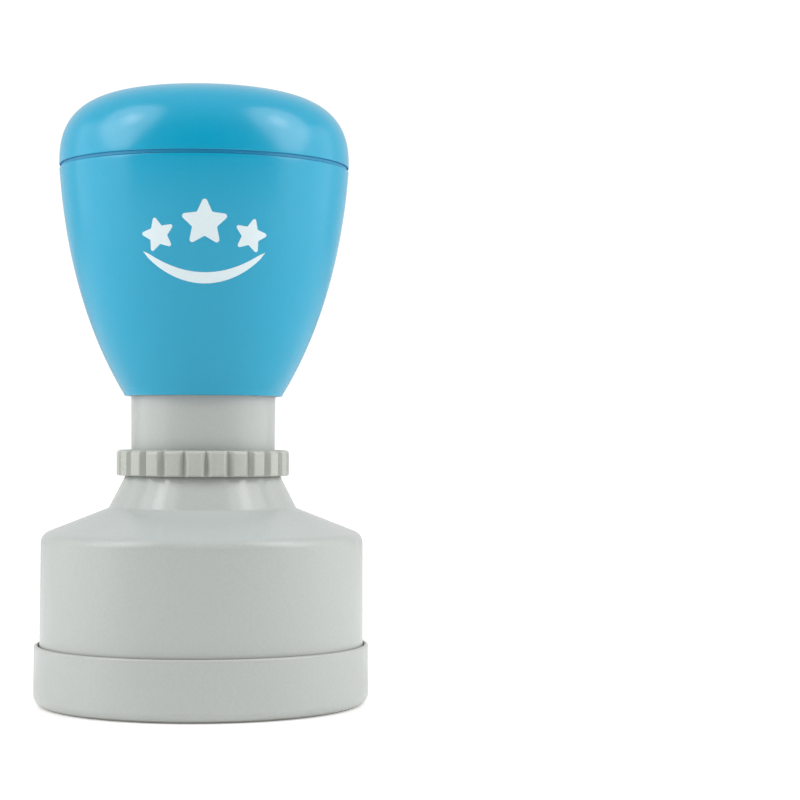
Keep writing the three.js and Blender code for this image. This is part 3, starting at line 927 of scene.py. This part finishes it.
def refill_plug():
    wide = radius("refill_plug")
    low = bottom("refill_plug")
    high = top("refill_plug")
    head = high - PLUG_HEAD_HEIGHT
    outline = [
        (0, low),
        (PLUG_SHANK_RADIUS - PLUG_LEAD, low, 0.3),
        (PLUG_SHANK_RADIUS, low + PLUG_LEAD_LENGTH, 0.3),
        (PLUG_SHANK_RADIUS, head),
        (wide, head, 0.2),
        (wide, high, 0.45),
        (PLUG_DIMPLE_RADIUS + PLUG_DIMPLE_FLARE, high, EDGE_BREAK),
        (PLUG_DIMPLE_RADIUS, high - PLUG_DIMPLE_DEPTH, EDGE_BREAK),
        (0, high - PLUG_DIMPLE_DEPTH),
    ]
    return place(turned("rubber_plug", outline, ROUND_SMALL), "plug", "refill_plug", RUBBER)


# ---------------------------------------------------------------- spring

WIRE_RADIUS = 0.5
COIL_RADIUS = 5.5
SPRING_TURNS = 8.5
CLOSED_TURNS = 1.0
CLOSED_PITCH = 1.02    # of the wire's thickness


def coil_height(turn, low, high):
    """The wire's height after some turns: closed coils at both ends, an even pitch between."""
    pitch = 2 * WIRE_RADIUS * CLOSED_PITCH
    rise = pitch * CLOSED_TURNS
    if turn < CLOSED_TURNS:
        return low + pitch * turn
    if turn > SPRING_TURNS - CLOSED_TURNS:
        return high - pitch * (SPRING_TURNS - turn)
    share = (turn - CLOSED_TURNS) / (SPRING_TURNS - 2 * CLOSED_TURNS)
    return low + rise + (high - low - 2 * rise) * share


def return_spring():
    low = bottom("return_spring")
    high = top("return_spring")
    steps = int(SPRING_TURNS * 40)
    sides = 12
    bm = bmesh.new()
    rows = []
    for i in range(steps + 1):
        turn = SPRING_TURNS * i / steps
        angle = 2 * math.pi * turn
        z = coil_height(turn, low + WIRE_RADIUS, high - WIRE_RADIUS)
        row = []
        for k in range(sides):
            around = 2 * math.pi * k / sides
            r = COIL_RADIUS + WIRE_RADIUS * math.cos(around)
            row.append(bm.verts.new(on_circle(r, angle, z + WIRE_RADIUS * math.sin(around))))
        rows.append(row)
    bridge(bm, rows)
    bm.faces.new(rows[0])
    bm.faces.new(rows[-1])
    obj = place(to_object("coil_spring", bm, 50.0), "base", "return_spring", SPRING)
    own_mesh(obj)
    return obj


# ---------------------------------------------------------------- ink cell, pad and die

CELL_WALL = 1.2
CELL_ROOF = 1.6
CELL_TOP = 19.0
CELL_BOSS_RADIUS = 6.0
SEAL_POCKET_RADIUS = 4.6
SEAL_POCKET_DEPTH = 1.4
CELL_FEED_RADIUS = 2.0
SEAL_SECTION = 0.5


def ink_cell():
    wide = radius("ink_cell")
    bore = wide - CELL_WALL
    low = bottom("ink_cell")
    boss = top("ink_cell")
    shelf = bottom("stem") - 0.1
    outline = [
        (bore, low, 0.2),
        (wide, low, 0.2),
        (wide, CELL_TOP, 1.0),
        (CELL_BOSS_RADIUS, CELL_TOP, 0.4),
        (CELL_BOSS_RADIUS, boss, 0.25),
        (SEAL_POCKET_RADIUS, boss, 0.15),
        (SEAL_POCKET_RADIUS, boss - SEAL_POCKET_DEPTH),
        (STEM_HOLE, boss - SEAL_POCKET_DEPTH),
        (STEM_HOLE, shelf),
        (CELL_FEED_RADIUS, shelf),
        (CELL_FEED_RADIUS, CELL_TOP - CELL_ROOF),
        (bore, CELL_TOP - CELL_ROOF, 0.3),
    ]
    return place(turned("ink_cup", outline), "handle", "ink_cell", WHITE)


def stem_seal():
    middle = radius("stem_seal") - SEAL_SECTION
    height = (bottom("stem_seal") + top("stem_seal")) / 2
    outline = arc(middle, height, SEAL_SECTION, 0, 345, 23)
    return place(turned("o_ring", outline, ROUND_SMALL), "handle", "stem_seal", RUBBER)


def ink_pad():
    wide = radius("ink_pad")
    low = bottom("ink_pad")
    high = top("ink_pad")
    outline = [(0, low), (wide, low, 0.8), (wide, high, 0.8), (0, high)]
    obj = place(turned("felt_pad", outline), "handle", "ink_pad", FELT)
    return obj


DIE_FACE_RADIUS = 18.5
DIE_FLANGE_Z = 8.9
DIE_FLANGE_THICKNESS = 0.8
DIE_RELIEF = 0.3
DIE_BORDER_INNER = 14.7
DIE_BORDER_OUTER = 15.9
DIE_BORDER_FLARE = 0.1
DIE_STAR = 11.5


def foam_die():
    """The printing face: a raised border ring around a sunk field."""
    face = bottom("foam_die")
    wide = radius("foam_die")
    flange_top = DIE_FLANGE_Z + DIE_FLANGE_THICKNESS
    pad = radius("ink_pad")
    outline = [
        (0, face + DIE_RELIEF),
        (DIE_BORDER_INNER - DIE_BORDER_FLARE, face + DIE_RELIEF, 0.1),
        (DIE_BORDER_INNER, face, 0.08),
        (DIE_BORDER_OUTER, face, 0.08),
        (DIE_BORDER_OUTER + DIE_BORDER_FLARE, face + DIE_RELIEF, 0.1),
        (DIE_FACE_RADIUS, face + DIE_RELIEF, 0.5),
        (DIE_FACE_RADIUS, DIE_FLANGE_Z),
        (wide, DIE_FLANGE_Z, 0.2),
        (wide, flange_top, 0.2),
        (pad, flange_top),
        (pad, top("foam_die"), 0.2),
        (0, top("foam_die")),
    ]
    obj = place(turned("foam_disc", outline), "handle", "foam_die", FOAM)
    return obj


def die_star():
    """The raised star inside the border ring."""
    face = bottom("foam_die")
    bm = flat_shapes([star(0, 0, DIE_STAR)], 2.0)
    thickened(bm, lambda x, y: (x, y, face), lambda x, y: (x, y, face + DIE_RELIEF + 0.1))
    return place(to_object("foam_star", bm, 30.0), "handle", None, FOAM)


CLAMP_LIP_RADIUS = 18.7
CLAMP_LIP = 0.8


def die_clamp():
    wide = radius("die_clamp")
    low = bottom("die_clamp")
    high = top("die_clamp")
    inner = radius("ink_cell") + 0.1
    outline = [
        (CLAMP_LIP_RADIUS, low, 0.2),
        (wide, low, 0.3),
        (wide, high, 0.25),
        (inner, high, 0.15),
        (inner, low + CLAMP_LIP),
        (CLAMP_LIP_RADIUS, low + CLAMP_LIP, 0.2),
    ]
    return place(turned("clamp_ring", outline), "handle", "die_clamp", GREY)


# ---------------------------------------------------------------- floor, light, camera

FLOOR_SIZE = 4.0
FLOOR_LIFT = 0.20      # how much whiter the floor looks to the camera near the object
FLOOR_LIFT_FAR = 0.60  # and beyond the lamps' reach
FLOOR_FAR = 0.9
FLOOR_GLOW = 0.11      # light that the sweep passes up around the object's foot
FLOOR_GLOW_FROM = 0.026
FLOOR_GLOW_TO = 0.045
TENT_BACK = 0.77       # the tent's brightness behind the object
TENT_SIDE = 0.40       # at its sides
TENT_TOP = 0.70        # and overhead; the camera's side is dark
TENT_SEEN = 1.05       # the backdrop as the camera sees it


def backdrop_material():
    """Pale matt floor, lifted to the white of a lit sweep for the camera, and glowing around the foot."""
    g = Graph("pale_floor")
    tone = g.spread(g.noise(3.0, 3.0), 0.0, 1.0)
    g.colour(g.blend(tone, (0.90, 0.90, 0.90), (0.92, 0.92, 0.92)))
    g.roughness(g.spread(g.noise(20.0), 0.55, 0.65))
    g.set(Specular_IOR_Level=0.2)
    g.shader.inputs["Emission Color"].default_value = (1, 1, 1, 1)
    away = g.nodes.new("ShaderNodeVectorMath")
    away.operation = "LENGTH"
    g.link(g.coords, away.inputs[0])
    lift = g.spread(away.outputs["Value"], FLOOR_LIFT, FLOOR_LIFT_FAR, 0.0, FLOOR_FAR)
    seen = g.nodes.new("ShaderNodeLightPath").outputs["Is Camera Ray"]
    glow = g.spread(away.outputs["Value"], FLOOR_GLOW, 0.0, FLOOR_GLOW_FROM, FLOOR_GLOW_TO)
    strength = g.calculate("ADD", g.calculate("MULTIPLY", lift, seen), glow)
    g.link(strength, g.shader.inputs["Emission Strength"])
    return g.material


def floor():
    bm = bmesh.new()
    bmesh.ops.create_circle(bm, cap_ends=True, radius=FLOOR_SIZE, segments=96)
    mesh = bpy.data.meshes.new("floor")
    bm.to_mesh(mesh)
    bm.free()
    obj = bpy.data.objects.new("floor", mesh)
    obj.data.materials.append(backdrop_material())
    bpy.context.scene.collection.objects.link(obj)


def world():
    """A light tent that glows behind, beside and above the object, and is white as a backdrop."""
    scene = bpy.context.scene
    scene.world = bpy.data.worlds.new("tent")
    scene.world.use_nodes = True
    nodes = scene.world.node_tree.nodes
    links = scene.world.node_tree.links

    def calculate(operation, first, second):
        node = nodes.new("ShaderNodeMath")
        node.operation = operation
        for k, value in enumerate((first, second)):
            if isinstance(value, (int, float)):
                node.inputs[k].default_value = value
            else:
                links.new(value, node.inputs[k])
        return node.outputs["Value"]

    def lobe(along, strength):
        return calculate("MULTIPLY", calculate("POWER", along, 2.0), strength)

    split = nodes.new("ShaderNodeSeparateXYZ")
    links.new(nodes.new("ShaderNodeTexCoord").outputs["Generated"], split.inputs["Vector"])
    back = lobe(calculate("MAXIMUM", split.outputs["Y"], 0.0), TENT_BACK)
    side = lobe(calculate("ABSOLUTE", split.outputs["X"], 0.0), TENT_SIDE)
    over = lobe(calculate("MAXIMUM", split.outputs["Z"], 0.0), TENT_TOP)
    seen = nodes.new("ShaderNodeMapRange")
    links.new(nodes.new("ShaderNodeLightPath").outputs["Is Camera Ray"], seen.inputs["Value"])
    links.new(calculate("ADD", calculate("ADD", back, side), over), seen.inputs["To Min"])
    seen.inputs["To Max"].default_value = TENT_SEEN
    links.new(seen.outputs["Result"], nodes["Background"].inputs["Strength"])
    nodes["Background"].inputs["Color"].default_value = (1, 1, 1, 1)


def softbox(name, place_at, aim, size, power, shape="RECTANGLE"):
    data = bpy.data.lights.new(name, "AREA")
    data.shape = shape
    data.size = size[0]
    data.size_y = size[1]
    data.energy = power
    lamp = bpy.data.objects.new(name, data)
    lamp.location = place_at
    direction = Vector(aim) - Vector(place_at)
    lamp.rotation_mode = "QUATERNION"
    lamp.rotation_quaternion = direction.to_track_quat("-Z", "Y")
    bpy.context.scene.collection.objects.link(lamp)


AIM = (0, 0, 0.05)
PANEL_AT = (0.50, -0.18, 0.42)      # right-hand lamps; each has a twin on the left
PANEL_SIZE = (0.52, 0.70)
PANEL_POWER = 1.85
KEY_AT = (0.50, -0.20, 0.48)
KEY_SIZE = (0.16, 0.20)
KEY_POWER = 0.27
WALL_AT = (0.75, 0.0, 0.22)
WALL_SIZE = (0.90, 0.50)
WALL_POWER = 1.10


def lights():
    for name, (x, y, z), size, power, shape in (
        ("panel", PANEL_AT, PANEL_SIZE, PANEL_POWER, "ELLIPSE"),
        ("key", KEY_AT, KEY_SIZE, KEY_POWER, "ELLIPSE"),
        ("wall", WALL_AT, WALL_SIZE, WALL_POWER, "RECTANGLE"),
    ):
        softbox(name + "_left", (-x, y, z), AIM, size, power, shape)
        softbox(name + "_right", (x, y, z), AIM, size, power, shape)


CAMERA_DISTANCE = 0.3093
CAMERA_HEIGHT = 0.03875
CAMERA_YAW = math.radians(5.269)
CAMERA_PITCH = math.radians(0.931)
CAMERA_ROLL = math.radians(0.25)
CAMERA_LENS = 95.88


def camera():
    data = bpy.data.cameras.new("camera")
    data.sensor_width = 36
    data.lens = CAMERA_LENS
    data.clip_start = 0.01
    obj = bpy.data.objects.new("camera", data)
    turn = Matrix.Rotation(-CAMERA_YAW, 4, "Z") @ Matrix.Rotation(math.pi / 2 + CAMERA_PITCH, 4, "X")
    obj.matrix_world = (
        Matrix.Translation((0, -CAMERA_DISTANCE, CAMERA_HEIGHT)) @ turn @ Matrix.Rotation(CAMERA_ROLL, 4, "Z")
    )
    bpy.context.scene.collection.objects.link(obj)
    bpy.context.scene.camera = obj


# ---------------------------------------------------------------- the scene

bpy.context.scene.view_settings.view_transform = "Standard"

camera()
world()
lights()
floor()

dust_cap()
housing()
adjusting_ring()
neck_sleeve()
handle_shell()
handle_cap()
mark()
handle_core()
stem()
washer("flat_washer", "nut_washer", "handle")
stem_nut()
refill_plug()
washer("seat_washer", "spring_seat", "base")
return_spring()
ink_cell()
stem_seal()
ink_pad()
foam_die()
die_star()
die_clamp()
